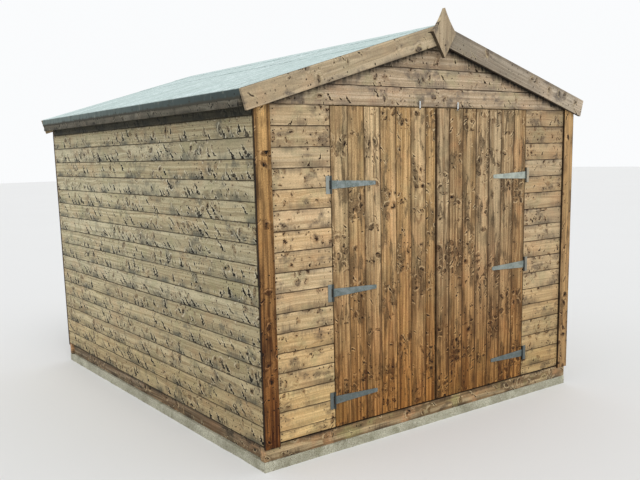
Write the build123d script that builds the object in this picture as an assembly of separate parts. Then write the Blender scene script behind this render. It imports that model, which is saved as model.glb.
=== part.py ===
from build123d import *
import math
import os

# Wooden garden shed, 8 ft wide, with a pair of doors in the gable end.
# Millimetres. +Z is up, X runs along the front and the doors face -Y.
# The origin is the centre of the underside of the concrete base.

# Driving sizes of the building
shed_width = 2445.0          # across the front, outside the cladding
shed_depth = 2955.0          # front to back, outside the cladding
roof_pitch = 16.5            # degrees
doorway_width = 1533.0
head_height = 1702.0         # cladding's bottom edge to the head line above the doors
eaves_rise = 68.0            # head line to the roof's underside at the side walls

# Base and floor
base_thickness = 55.0
rim_height = 82.0
rim_thickness = 38.0
side_rim_setback = 20.0      # long rims stand back under the cladding
end_rim_setback = 3.0
end_rim_inset = 2.0          # end rims stop short of the shed's width
rim_gap = 6.0                # open line between the rims and the cladding
joist_count = 6
joist_thickness = 38.0
deck_thickness = 12.0
deck_door_gap = 5.5          # deck's front edge to the back of the doors

# Walls
cladding_thickness = 12.0
stud_depth = 34.0
stud_width = 44.0
rail_height = 44.0
side_stud_count = 6
back_stud_count = 5
trim_width = 92.0
trim_thickness = 14.0
trim_drop = 18.0             # trims reach this far below the cladding

# Roof
roof_board_thickness = 12.0
felt_thickness = 3.0
felt_lip_height = 48.0       # felt turned down over the eaves
eaves_reach = 69.0           # roof boards beyond the side walls
eaves_board_height = 66.0
eaves_board_thickness = 20.0
rafter_depth = 44.0
ridge_beam_width = 44.0
ridge_beam_height = 94.0
purlin_width = 44.0
purlin_depth = 70.0
bargeboard_width = 104.0
bargeboard_thickness = 18.0
bargeboard_lap = 4.0         # top corner past the felt's edge
ridge_joint_gap = 0.6        # between the two halves of each roof layer
finial_width = 176.0
finial_height = 266.0
finial_rise = 82.0           # point above the roof's ridge
finial_shoulder_drop = 130.0    # widest place below the point
finial_hollow_depth = 6.0    # how far the upper edges curve in
finial_thickness = 22.0

# Doors
door_thickness = 12.0
hinge_gap = 5.5              # door's edge to the front wall
head_gap = 6.0
meeting_gap = 12.0
meeting_offset = -13.0       # the doors meet left of the centre line
stop_reach = 15.0            # stop battens into the doorway
stop_depth = 22.0
stop_gap = 5.5               # doors' back to the stops
stop_joint_gap = 1.0
ledge_height = 95.0
ledge_thickness = 22.0
ledge_clearance = 8.0
ledge_meeting_inset = 12.0
brace_width = 70.0
low_hinge_height = 150.0     # above the cladding's bottom edge
high_hinge_drop = 402.0      # below the head line
middle_hinge_rise = 11.0     # above halfway between the other two

# Tee hinges
strap_length = 300.0
strap_root_height = 44.0
strap_tip_height = 22.0
strap_tip_corner = 6.0
hinge_leaf_thickness = 3.0
knuckle_radius = 5.0
pin_radius = 3.0
pin_clearance = 0.1
knuckle_clearance = 0.3
pin_offset = 4.0             # pin's place outside the middle of the gap beside the door
plate_reach = 31.0           # from the pin to the plate's outer edge
end_knuckle_height = 24.0    # each of the plate's two knuckles
plate_barrel_gap = 4.5

# Turn buttons at the doors' top
button_width = 9.0
button_height = 46.0
button_thickness = 2.5
button_standoff = 5.5
button_boss_radius = 4.5
button_edge_gap = 0.8        # boss below the door's top edge
left_button_inset = 125.0    # from the meeting edges
right_button_inset = 160.0

# Levels
rim_top = base_thickness + rim_height
wall_bottom = rim_top + rim_gap
deck_top = rim_top + deck_thickness
head_level = wall_bottom + head_height
eaves_level = head_level + eaves_rise

# Planes of the walls
half_width = shed_width / 2
half_depth = shed_depth / 2
inner_x = half_width - cladding_thickness
inner_y = half_depth - cladding_thickness
frame_x = inner_x - stud_depth
frame_y = inner_y - stud_depth
half_doorway = doorway_width / 2
front_face = -half_depth
roof_end = half_depth + trim_thickness
slope = math.tan(math.radians(roof_pitch))
slope_cos = math.cos(math.radians(roof_pitch))
slope_sin = math.sin(math.radians(roof_pitch))


def roof_under(x, depth=0.0):
    """Height of the roof boards' underside at x, or of a line depth below it."""
    return eaves_level + (half_width - abs(x)) * slope - depth / slope_cos


# The rafters' feet stand on the rails over the doorway and across the back
rafter_foot = roof_under(frame_x, rafter_depth)


def block(x0, x1, y0, y1, z0, z1):
    """Box between two corners."""
    size = Box(x1 - x0, y1 - y0, z1 - z0, align=(Align.MIN, Align.MIN, Align.MIN))
    return Pos(x0, y0, z0) * size


def prism(points, y0, y1):
    """Outline of (x, z) points, run from y0 to y1."""
    corners = [(x, y0, z) for x, z in points]
    face = make_face(Polyline(*corners, close=True))
    return extrude(face, amount=y1 - y0, dir=(0, 1, 0))


def other_side(shape):
    return mirror(shape, about=Plane.YZ)


def other_end(shape):
    return mirror(shape, about=Plane.XZ)


def spread(first, last, count):
    """Evenly spaced places from first to last."""
    return [first + (last - first) * i / (count - 1) for i in range(count)]


# Base and floor

def concrete_base():
    return block(-half_width, half_width, -half_depth, half_depth, 0, base_thickness)


def floor_side_rims():
    outer = half_width - side_rim_setback
    reach = half_depth - end_rim_setback - rim_thickness
    right = block(outer - rim_thickness, outer, -reach, reach, base_thickness, rim_top)
    return [other_side(right), right]


def floor_end_rims():
    outer = half_depth - end_rim_setback
    reach = half_width - end_rim_inset
    back = block(-reach, reach, outer - rim_thickness, outer, base_thickness, rim_top)
    return [other_end(back), back]


def floor_joists():
    reach = half_width - side_rim_setback - rim_thickness
    end_face = half_depth - end_rim_setback - rim_thickness
    places = spread(-end_face, end_face, joist_count + 2)[1:-1]
    half = joist_thickness / 2
    return [block(-reach, reach, y - half, y + half, base_thickness, rim_top) for y in places]


def floor_deck():
    front = front_face + door_thickness + deck_door_gap
    return block(-inner_x, inner_x, front, inner_y, rim_top, deck_top)


# Side and back walls

def side_cladding():
    outline = [
        (inner_x, wall_bottom),
        (half_width, wall_bottom),
        (half_width, roof_under(half_width)),
        (inner_x, roof_under(inner_x)),
    ]
    return prism(outline, -half_depth, half_depth)


def side_rails():
    bottom = block(frame_x, inner_x, -inner_y, inner_y, deck_top, deck_top + rail_height)
    rail_under = roof_under(inner_x) - rail_height
    outline = [
        (frame_x, rail_under),
        (inner_x, rail_under),
        (inner_x, roof_under(inner_x)),
        (frame_x, roof_under(frame_x)),
    ]
    return [bottom, prism(outline, -inner_y, inner_y)]


def side_studs():
    low = deck_top + rail_height
    high = roof_under(inner_x) - rail_height
    reach = inner_y - stud_width / 2
    half = stud_width / 2
    places = spread(-reach, reach, side_stud_count)
    return [block(frame_x, inner_x, y - half, y + half, low, high) for y in places]


def gable_outline(low):
    return [
        (-inner_x, low),
        (inner_x, low),
        (inner_x, roof_under(inner_x)),
        (0, roof_under(0)),
        (-inner_x, roof_under(inner_x)),
    ]


def back_cladding():
    return prism(gable_outline(wall_bottom), inner_y, half_depth)


def back_rails():
    bottom = block(-frame_x, frame_x, frame_y, inner_y, deck_top, deck_top + rail_height)
    tie = block(-frame_x, frame_x, frame_y, inner_y, head_level, rafter_foot)
    return [bottom, tie]


def back_studs():
    reach = frame_x - stud_width / 2
    half = stud_width / 2
    low = deck_top + rail_height
    places = spread(-reach, reach, back_stud_count)
    return [block(x - half, x + half, frame_y, inner_y, low, head_level) for x in places]


# Front wall around the doorway

def front_panel():
    return block(half_doorway, inner_x, front_face, -inner_y, wall_bottom, head_level)


def front_gable():
    return prism(gable_outline(head_level), front_face, -inner_y)


def front_posts():
    doorway_post = block(
        half_doorway, half_doorway + stud_width, -inner_y, -frame_y, deck_top, head_level
    )
    corner_post = block(frame_x - stud_width, frame_x, -inner_y, -frame_y, deck_top, head_level)
    return [doorway_post, corner_post, other_side(doorway_post), other_side(corner_post)]


def front_rails():
    rails = [block(-frame_x, frame_x, -inner_y, -frame_y, head_level, rafter_foot)]
    middle = (deck_top + head_level - rail_height) / 2
    for level in (deck_top, middle):
        short = block(
            half_doorway + stud_width,
            frame_x - stud_width,
            -inner_y,
            -frame_y,
            level,
            level + rail_height,
        )
        rails += [short, other_side(short)]
    return rails


def door_stops():
    front = front_face + door_thickness + stop_gap
    back = front + stop_depth
    head_low = head_level - stop_reach
    top = block(-half_doorway, half_doorway, front, back, head_low, head_level)
    side_top = head_low - stop_joint_gap
    side = block(half_doorway - stop_reach, half_doorway, front, back, deck_top, side_top)
    return [top, side, other_side(side)]


def gable_rafters():
    inner = ridge_beam_width / 2
    outline = [
        (frame_x, rafter_foot),
        (frame_x, roof_under(frame_x)),
        (inner, roof_under(inner)),
        (inner, roof_under(inner, rafter_depth)),
    ]
    back = prism(outline, frame_y, inner_y)
    return [back, other_side(back), other_end(back), other_end(other_side(back))]


def corner_trims():
    outer = half_depth + trim_thickness
    top = roof_under(half_width)
    right = block(
        half_width - trim_width, half_width, half_depth, outer, wall_bottom - trim_drop, top
    )
    return [right, other_side(right)]


# Roof

def roof_boards():
    edge = half_width + eaves_reach
    ridge = ridge_joint_gap / 2
    outline = [
        (ridge, roof_under(ridge)),
        (edge, roof_under(edge)),
        (edge, roof_under(edge, -roof_board_thickness)),
        (ridge, roof_under(ridge, -roof_board_thickness)),
    ]
    return prism(outline, -roof_end, roof_end)


def roof_felt():
    board_edge = half_width + eaves_reach
    edge = board_edge + felt_thickness
    ridge = ridge_joint_gap / 2
    top = roof_board_thickness + felt_thickness
    lip_bottom = roof_under(edge, -top) - felt_lip_height
    outline = [
        (ridge, roof_under(ridge, -roof_board_thickness)),
        (board_edge, roof_under(board_edge, -roof_board_thickness)),
        (board_edge, lip_bottom),
        (edge, lip_bottom),
        (edge, roof_under(edge, -top)),
        (ridge, roof_under(ridge, -top)),
    ]
    return prism(outline, -roof_end, roof_end)


def roof_purlins():
    half = ridge_beam_width / 2
    low = roof_under(0) - ridge_beam_height
    ridge_outline = [
        (-half, low),
        (half, low),
        (half, roof_under(half)),
        (0, roof_under(0)),
        (-half, roof_under(half)),
    ]
    ridge_beam = prism(ridge_outline, -inner_y, inner_y)
    place = half_width / 2
    run = purlin_width * slope_cos
    drop = purlin_depth * slope_sin
    high_x = place - run / 2
    low_x = place + run / 2
    purlin_outline = [
        (high_x, roof_under(high_x)),
        (low_x, roof_under(low_x)),
        (low_x - drop, roof_under(low_x) - purlin_depth * slope_cos),
        (high_x - drop, roof_under(high_x) - purlin_depth * slope_cos),
    ]
    purlin = prism(purlin_outline, -frame_y, frame_y)
    return [ridge_beam, purlin, other_side(purlin)]


def eaves_board():
    outer = half_width + eaves_reach
    top = roof_under(outer)
    low = top - eaves_board_height
    return block(outer - eaves_board_thickness, outer, -half_depth, half_depth, low, top)


def bargeboard():
    """Right-hand board at the back, its lower end cut square to the slope."""
    top = roof_board_thickness + felt_thickness
    edge = half_width + eaves_reach + felt_thickness + bargeboard_lap
    ridge = ridge_joint_gap / 2
    across = bargeboard_width * slope_sin
    down = bargeboard_width * slope_cos
    outline = [
        (ridge, roof_under(ridge, -top)),
        (ridge, roof_under(ridge, bargeboard_width - top)),
        (edge - across, roof_under(edge, -top) - down),
        (edge, roof_under(edge, -top)),
    ]
    return prism(outline, roof_end, roof_end + bargeboard_thickness)


def front_finial():
    """Pointed board over the joint of the front bargeboards."""
    point = roof_under(0, -roof_board_thickness - felt_thickness) + finial_rise
    shoulder = point - finial_shoulder_drop
    foot = point - finial_height
    half = finial_width / 2
    face_y = -roof_end - bargeboard_thickness
    length = math.hypot(half, finial_shoulder_drop)
    curve_x = half / 2 - finial_hollow_depth * finial_shoulder_drop / length
    curve_z = (point + shoulder) / 2 - finial_hollow_depth * half / length
    tip = (0, face_y, point)
    right = (half, face_y, shoulder)
    left = (-half, face_y, shoulder)
    low = (0, face_y, foot)
    edges = [
        ThreePointArc(tip, (curve_x, face_y, curve_z), right),
        Line(right, low),
        Line(low, left),
        ThreePointArc(left, (-curve_x, face_y, curve_z), tip),
    ]
    return extrude(make_face(edges), amount=finial_thickness, dir=(0, -1, 0))


# Tee hinges of the right-hand side, made about their own pin

axis_x = half_doorway - hinge_gap / 2 + pin_offset
axis_y = front_face - knuckle_radius - knuckle_clearance
leaf_back = front_face - axis_y
leaf_front = leaf_back - hinge_leaf_thickness
barrel_half = strap_root_height / 2
plate_half = barrel_half + end_knuckle_height


def upright(radius, z0, z1):
    base = Cylinder(radius, z1 - z0, align=(Align.CENTER, Align.CENTER, Align.MIN))
    return Pos(0, 0, z0) * base


def hinge_plate():
    """Plate on the front wall, its two knuckles and the pin."""
    barrel_edge = knuckle_radius + plate_barrel_gap
    plate = block(barrel_edge, plate_reach, leaf_front, leaf_back, -plate_half, plate_half)
    low = barrel_half + knuckle_clearance
    body = plate + upright(pin_radius, -plate_half, plate_half)
    for z0, z1 in ((low, plate_half), (-plate_half, -low)):
        body += upright(knuckle_radius, z0, z1)
        body += block(pin_radius, barrel_edge, leaf_front, leaf_back, z0, z1)
    return body


def hinge_strap():
    """Tapered strap on the door, towards -X, with the middle knuckle."""
    root_x = -(knuckle_radius + pin_radius) / 2
    tip_half = strap_tip_height / 2
    corner = strap_tip_corner
    cut = corner * (1 - math.sqrt(0.5))
    root_top = (root_x, leaf_front, barrel_half)
    root_low = (root_x, leaf_front, -barrel_half)
    edge_top = (-strap_length + corner, leaf_front, tip_half)
    edge_low = (-strap_length + corner, leaf_front, -tip_half)
    tip_top = (-strap_length, leaf_front, tip_half - corner)
    tip_low = (-strap_length, leaf_front, corner - tip_half)
    edges = [
        Line(root_low, root_top),
        Line(root_top, edge_top),
        ThreePointArc(edge_top, (-strap_length + cut, leaf_front, tip_half - cut), tip_top),
        Line(tip_top, tip_low),
        ThreePointArc(tip_low, (-strap_length + cut, leaf_front, cut - tip_half), edge_low),
        Line(edge_low, root_low),
    ]
    strap = extrude(make_face(edges), amount=hinge_leaf_thickness, dir=(0, 1, 0))
    strap += upright(knuckle_radius, -barrel_half, barrel_half)
    bore = pin_radius + pin_clearance
    return strap - upright(bore, -barrel_half, barrel_half)


def at_hinges(piece):
    return [Pos(axis_x, axis_y, level) * piece for level in hinge_levels]


# Doors, made on the right-hand side

door_edge = half_doorway - hinge_gap
door_top = head_level - head_gap
door_back = front_face + door_thickness
ledge_back = door_back + ledge_thickness
ledge_outer = half_doorway - stop_reach - ledge_clearance
low_hinge = wall_bottom + low_hinge_height
high_hinge = head_level - high_hinge_drop
hinge_levels = [low_hinge, (low_hinge + high_hinge) / 2 + middle_hinge_rise, high_hinge]


def door_boards(meeting_x):
    return block(meeting_x, door_edge, front_face, door_back, wall_bottom, door_top)


def door_ledges(meeting_x):
    inner = meeting_x + ledge_meeting_inset
    half = ledge_height / 2
    return [
        block(inner, ledge_outer, door_back, ledge_back, level - half, level + half)
        for level in hinge_levels
    ]


def door_braces(meeting_x):
    """Braces that rise from the hinge side to the meeting side, ledge to ledge."""
    inner = meeting_x + ledge_meeting_inset
    half = ledge_height / 2
    braces = []
    for lower, upper in zip(hinge_levels, hinge_levels[1:]):
        low = lower + half
        high = upper - half
        outline = [
            (ledge_outer, low),
            (ledge_outer - brace_width, low),
            (inner, high),
            (inner + brace_width, high),
        ]
        braces.append(prism(outline, door_back, ledge_back))
    return braces


def turn_button(meeting_x, inset):
    """Small metal plate on a boss at the door's top, in front of the gable."""
    x = meeting_x + inset
    boss_z = door_top - button_boss_radius - button_edge_gap
    low = boss_z - button_boss_radius
    back = front_face - button_standoff
    plate = block(
        x - button_width / 2,
        x + button_width / 2,
        back - button_thickness,
        back,
        low,
        low + button_height,
    )
    plate = fillet(plate.edges().filter_by(Axis.Y), button_width / 2.5)
    boss = Cylinder(button_boss_radius, button_standoff)
    boss = Pos(x, front_face - button_standoff / 2, boss_z) * Rot(90, 0, 0) * boss
    return plate + boss


def door_pieces(side):
    """Every piece of one door; the left one is made as a mirror image."""
    towards = 1 if side == "right" else -1
    meeting_x = meeting_offset * towards + meeting_gap / 2
    button_inset = right_button_inset if side == "right" else left_button_inset
    pieces = {
        "door_boards": [door_boards(meeting_x)],
        "door_ledges": door_ledges(meeting_x),
        "door_braces": door_braces(meeting_x),
        "hinge_straps": at_hinges(hinge_strap()),
        "turn_button": [turn_button(meeting_x, button_inset)],
    }
    if side == "left":
        pieces = {name: [other_side(s) for s in shapes] for name, shapes in pieces.items()}
    return {side + "_" + name: shapes for name, shapes in pieces.items()}


def build_nodes():
    nodes = {
        "concrete_base": [concrete_base()],
        "floor_side_rims": floor_side_rims(),
        "floor_end_rims": floor_end_rims(),
        "floor_joists": floor_joists(),
        "floor_deck": [floor_deck()],
        "right_wall_cladding": [side_cladding()],
        "right_wall_studs": side_studs(),
        "right_wall_rails": side_rails(),
        "left_wall_cladding": [other_side(side_cladding())],
        "left_wall_studs": [other_side(s) for s in side_studs()],
        "left_wall_rails": [other_side(s) for s in side_rails()],
        "back_wall_cladding": [back_cladding()],
        "back_wall_studs": back_studs(),
        "back_wall_rails": back_rails(),
        "front_right_cladding": [front_panel()],
        "front_left_cladding": [other_side(front_panel())],
        "front_gable_cladding": [front_gable()],
        "front_wall_posts": front_posts(),
        "front_wall_rails": front_rails(),
        "door_stops": door_stops(),
        "gable_rafters": gable_rafters(),
        "back_corner_trims": corner_trims(),
        "front_corner_trims": [other_end(s) for s in corner_trims()],
        "roof_boards_right": [roof_boards()],
        "roof_boards_left": [other_side(roof_boards())],
        "roof_felt_right": [roof_felt()],
        "roof_felt_left": [other_side(roof_felt())],
        "roof_purlins": roof_purlins(),
        "eaves_boards": [eaves_board(), other_side(eaves_board())],
        "back_bargeboards": [bargeboard(), other_side(bargeboard())],
        "front_bargeboard_right": [other_end(bargeboard())],
        "front_bargeboard_left": [other_end(other_side(bargeboard()))],
        "front_finial": [front_finial()],
        "right_hinge_plates": at_hinges(hinge_plate()),
        "left_hinge_plates": [other_side(s) for s in at_hinges(hinge_plate())],
    }
    nodes.update(door_pieces("right"))
    nodes.update(door_pieces("left"))
    return nodes


os.makedirs("parts", exist_ok=True)
for node, shapes in build_nodes().items():
    shape = shapes[0] if len(shapes) == 1 else Compound(children=shapes)
    export_step(shape, "parts/" + node + ".step")
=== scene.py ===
"""Looks of the wooden garden shed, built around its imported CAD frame. Metres throughout."""

import itertools
import math
import random
from types import SimpleNamespace

import bmesh
import bpy
from mathutils import Euler, Matrix, Vector
from mathutils import noise as field


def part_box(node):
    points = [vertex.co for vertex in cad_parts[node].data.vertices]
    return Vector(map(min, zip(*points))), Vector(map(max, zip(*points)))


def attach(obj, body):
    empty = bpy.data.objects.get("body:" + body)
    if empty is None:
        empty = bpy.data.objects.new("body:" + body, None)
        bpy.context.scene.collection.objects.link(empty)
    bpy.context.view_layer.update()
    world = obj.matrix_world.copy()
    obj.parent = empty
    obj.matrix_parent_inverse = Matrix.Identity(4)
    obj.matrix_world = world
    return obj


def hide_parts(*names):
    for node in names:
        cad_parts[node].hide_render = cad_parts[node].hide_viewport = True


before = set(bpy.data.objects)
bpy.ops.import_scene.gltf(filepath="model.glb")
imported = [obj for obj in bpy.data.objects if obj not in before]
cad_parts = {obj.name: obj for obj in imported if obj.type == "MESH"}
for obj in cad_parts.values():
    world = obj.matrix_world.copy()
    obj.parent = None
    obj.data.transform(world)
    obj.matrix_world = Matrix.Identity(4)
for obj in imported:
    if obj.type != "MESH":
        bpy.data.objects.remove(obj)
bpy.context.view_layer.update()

MM = 0.001
LEFT, RIGHT = -1, 1
HANDS = ((LEFT, "left"), (RIGHT, "right"))
X_AXIS, Y_AXIS, Z_AXIS = Vector((1, 0, 0)), Vector((0, 1, 0)), Vector((0, 0, 1))

# Board layout, measured on the photo and rounded to the boards' own sizes
CLADDING_COVER = 103 * MM
DOOR_BOARD_PITCH = 111.5 * MM
ROOF_BOARD_PITCH = 112 * MM
DECK_BOARD_PITCH = 119 * MM
JOINT_GAP = (1.8 * MM, 3.6 * MM)
ARRIS = 0.7 * MM

# Length of the stretches that a board's mesh is made of
BOARD_STEP = 0.15

# How far the cladding stays under the roof, at the eaves, at the ridge and along a gable's slope
EAVES_GAP = 3 * MM
RIDGE_GAP = 6 * MM
SLOPE_GAP = 2 * MM

# Radius and rise of the heads of nails and screws
WALL_NAIL = (3.7 * MM, 1.2 * MM)
DOOR_NAIL = (3.0 * MM, 1.2 * MM)
TRIM_NAIL = (2.6 * MM, 1.0 * MM)
CLOUT = (4.6 * MM, 1.1 * MM)
LIP_NAIL = (4.2 * MM, 1.0 * MM)
HINGE_SCREW = (4.0 * MM, 1.2 * MM)
BUTTON_SCREW = (3.8 * MM, 1.2 * MM)
NAIL_SINK = 0.8 * MM
TRIM_NAIL_SINK = 0.7 * MM
SCREW_SINK = 0.1 * MM
KNUCKLE_RADIUS = 5 * MM

# Places read from the frame
base_low, base_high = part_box("concrete_base")
side_low, side_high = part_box("right_wall_cladding")
front_low, front_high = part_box("front_right_cladding")
gable_low, gable_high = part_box("front_gable_cladding")
back_low, back_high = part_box("back_wall_cladding")
deck_low, deck_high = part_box("floor_deck")
door_low, door_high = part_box("left_door_boards")
trim_low, trim_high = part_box("front_corner_trims")
roof_low, roof_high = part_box("roof_boards_right")
felt_low, felt_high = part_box("roof_felt_right")
barge_low, barge_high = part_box("front_bargeboard_right")
head_level = gable_low.z
board_thickness = side_high.x - side_low.x
roof_slope = (gable_high.z - side_high.z) / side_high.x
roof_angle = math.atan(roof_slope)
ridge_under = side_high.z + side_high.x * roof_slope
roof_thickness = (roof_high.z - ridge_under) * math.cos(roof_angle)
hinge_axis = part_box("right_hinge_plates")[0].x + KNUCKLE_RADIUS
barge_line = barge_low.z + barge_high.x * roof_slope


# Materials

def linear(colour):
    """A colour written in 0 to 255, as the linear one that shaders take.

    A field, or a colour of four numbers that is linear already, comes back as it is."""
    if isinstance(colour, Field) or len(colour) == 4:
        return colour
    shares = [value / 255 for value in colour]
    return (*(s / 12.92 if s <= 0.04045 else ((s + 0.055) / 1.055) ** 2.4 for s in shares), 1.0)


def sign(operation, swapped=False):
    """A method of Field that makes a math node of it and what it is combined with."""
    def method(self, *others):
        values = (self, *others)
        return self.shader.math(operation, *(values[::-1] if swapped else values))

    return method


class Field:
    """What a shader works out at each point. Its signs and methods add nodes to the shader."""

    def __init__(self, shader, socket):
        self.shader = shader
        self.socket = socket

    __add__ = sign("ADD")
    __sub__ = sign("SUBTRACT")
    __rsub__ = sign("SUBTRACT", swapped=True)
    __mul__ = sign("MULTIPLY")
    __truediv__ = sign("DIVIDE")
    __pow__ = sign("POWER")
    __abs__ = sign("ABSOLUTE")
    root = sign("SQRT")
    fraction = sign("FRACT")
    most = sign("MAXIMUM")
    least = sign("MINIMUM")

    def ramp(self, low, high, out_low=0.0, out_high=1.0):
        """Smooth step from out_low to out_high as the value goes from low to high."""
        values = (self, low, high, out_low, out_high)
        return self.shader.make("ShaderNodeMapRange", values, interpolation_type="SMOOTHSTEP")


class Shader:
    """One material's node tree, and the export slot of the pieces that wear it."""

    slots = {}

    def __init__(self, name, slot=None):
        self.material = bpy.data.materials.new(name)
        self.slots[self.material.name] = slot
        self.material.use_nodes = True
        self.tree = self.material.node_tree
        self.tree.nodes.clear()
        output = self.node("ShaderNodeOutputMaterial")
        self.surface = self.node("ShaderNodeBsdfPrincipled")
        self.tree.links.new(self.surface.outputs[0], output.inputs["Surface"])
        # The point in the shed's own frame, which stays with a piece that moves
        self.point = self.make("ShaderNodeTexCoord", out="Object")
        self.x, self.y, self.z = self.parts(self.point)

    def node(self, kind, values=(), **settings):
        """A node with its settings, and with its inputs set or linked by name or in turn."""
        made = self.tree.nodes.new(kind)
        for key, value in settings.items():
            setattr(made, key, value)
        for key, value in values.items() if isinstance(values, dict) else enumerate(values):
            self.feed(made.inputs[key], value)
        return made

    def make(self, kind, values=(), out=0, **settings):
        """The field that one output of a new node gives."""
        return Field(self, self.node(kind, values, **settings).outputs[out])

    def feed(self, socket, value):
        if isinstance(value, Field):
            self.tree.links.new(value.socket, socket)
        else:
            socket.default_value = value

    def attribute(self, name):
        made = self.make("ShaderNodeAttribute", out="Vector", attribute_name=name)
        return made, self.parts(made)

    def parts(self, vector):
        made = self.node("ShaderNodeSeparateXYZ", [vector])
        return [Field(self, socket) for socket in made.outputs]

    def vector(self, x, y, z=0.0):
        return self.make("ShaderNodeCombineXYZ", [x, y, z])

    def math(self, operation, *values):
        return self.make("ShaderNodeMath", values, operation=operation)

    def vector_math(self, operation, first, second):
        return self.make("ShaderNodeVectorMath", [first, second], operation=operation)

    def noise(self, vector, scale, detail=2.0, roughness=0.5, out="Fac"):
        values = {"Vector": vector, "Scale": scale, "Detail": detail, "Roughness": roughness}
        return self.make("ShaderNodeTexNoise", values, out)

    def scatter(self, key, value, scale, dimensions, outs, **settings):
        """Some outputs of a texture of scattered points."""
        made = self.node(
            "ShaderNodeTexVoronoi", {key: value, "Scale": scale},
            voronoi_dimensions=dimensions, **settings,
        )
        return [Field(self, made.outputs[out]) for out in outs]

    def ovals(self, vector, spacing, share, smallest, largest, stretch):
        """Scattered ovals, each turned its own way: 1 at the middle of one and 0 at its rim.

        With it come a number of the oval's own, how far to one side of it a point lies, and its
        radius."""
        colour, centre = self.scatter("Vector", vector, 1 / spacing, "2D", ("Color", "Position"))
        chance, size, mark = self.parts(colour)
        offset = self.vector_math("SUBTRACT", vector, centre)
        turned = self.make(
            "ShaderNodeVectorRotate", {"Vector": offset, "Angle": mark * math.tau},
            rotation_type="Z_AXIS",
        )
        x, y = self.parts(turned)[:2]
        x = x * (1 / stretch)
        radius = size ** 2.0 * (largest - smallest) + smallest
        reach = (x * x + y * y).root()
        missing = (chance - share).ramp(0.0, 0.01, 0.0, 20.0)
        depth = 1.0 - (reach / radius + missing)
        return depth, (mark * 7.0).fraction(), y / radius, radius

    def from_edge(self, vector, spacing):
        """0 on the lines midway between the points that ovals() scatters, and 1 well off them."""
        edge = self.scatter(
            "Vector", vector, 1 / spacing, "2D", ["Distance"], feature="DISTANCE_TO_EDGE",
        )[0]
        return edge.ramp(0.0, 0.28)

    def scatter_along(self, value, spacing):
        """How far a value lies from the nearest of some scattered ones, and that one's chances."""
        nearest, colour = self.scatter("W", value, 1 / spacing, "1D", ("W", "Color"))
        return abs(value - nearest), self.parts(colour)

    def blend(self, share, first, second, mode="MIX"):
        values = {"Factor": share, "A": linear(first), "B": linear(second)}
        return self.make("ShaderNodeMix", values, "Result", data_type="RGBA", blend_type=mode)

    def layers(self, colour, *layers):
        """Lays further colours over the first, each with its own share."""
        for share, shade in layers:
            colour = self.blend(share, colour, shade)
        return colour

    def off_pin(self):
        """How far to the left or right a point lies of the hinge pins of its own half."""
        return abs(abs(self.x) - hinge_axis)

    def bump(self, height, distance, strength=1.0):
        values = {"Height": height, "Distance": distance, "Strength": strength}
        self.feed(self.surface.inputs["Normal"], self.make("ShaderNodeBump", values))

    def finish(self, colour, roughness, metallic=0.0, sheen=0.5):
        values = {
            "Base Color": colour, "Roughness": roughness, "Metallic": metallic,
            "Specular IOR Level": sheen,
        }
        for key, value in values.items():
            self.feed(self.surface.inputs[key], value)
        return self.material


# What each kind of timber looks like. Shares run from 0 to 1, lengths are in metres, and
# colours are written in 0 to 255.
TIMBER = dict(
    pale=(190, 166, 126), deep=(158, 130, 90), warm=(198, 156, 118), cool=(164, 160, 122),
    knot=(36, 25, 16), halo=(124, 92, 58), resin=(214, 194, 152), stain=(88, 84, 80),
    seam=(60, 46, 34), seam_least=0.15, thickness=0.0,
    figure=0.55, lines=0.22, streaks=0.28, patches=0.35, tint=0.5, speckle=0.46, gleam=0.45,
    whorls=2.2, whorl_span=(0.46, 0.56), feathers=0.7, solid_knots=0.22, knot_inside=1.0,
    knots=0.5, knot_spacing=0.065, knot_size=(0.003, 0.012), pins=0.4, low_marks=0.0,
    spikes=0.35, spike_spacing=0.055, spike_slant=1.0, spike_height=0.06, spike_width=0.006,
    spike_feet=0.05, mildew=0.6, cloud_grain=(8.5, 8.5), cloud_span=(0.655, 0.80),
    cloud_whorls=0.25, edge_grain=(95.0, 10.0), lower_edge=0.5, upper_edge=0.2,
    crown=0.0, crown_span=(1.3, 1.9), foot=0.0, foot_top=0.5, foot_streaks=0.0, foot_right=1.0,
    frontward=0.0, rightward=0.0, rightward_colour=(214, 194, 152), hinge_grime=0.0,
    shelter=0.0, rim_shade=0.0, rim_width=0.03, top_shade=0.0, top_shade_from=0.93,
    underside=0.0,
)


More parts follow.
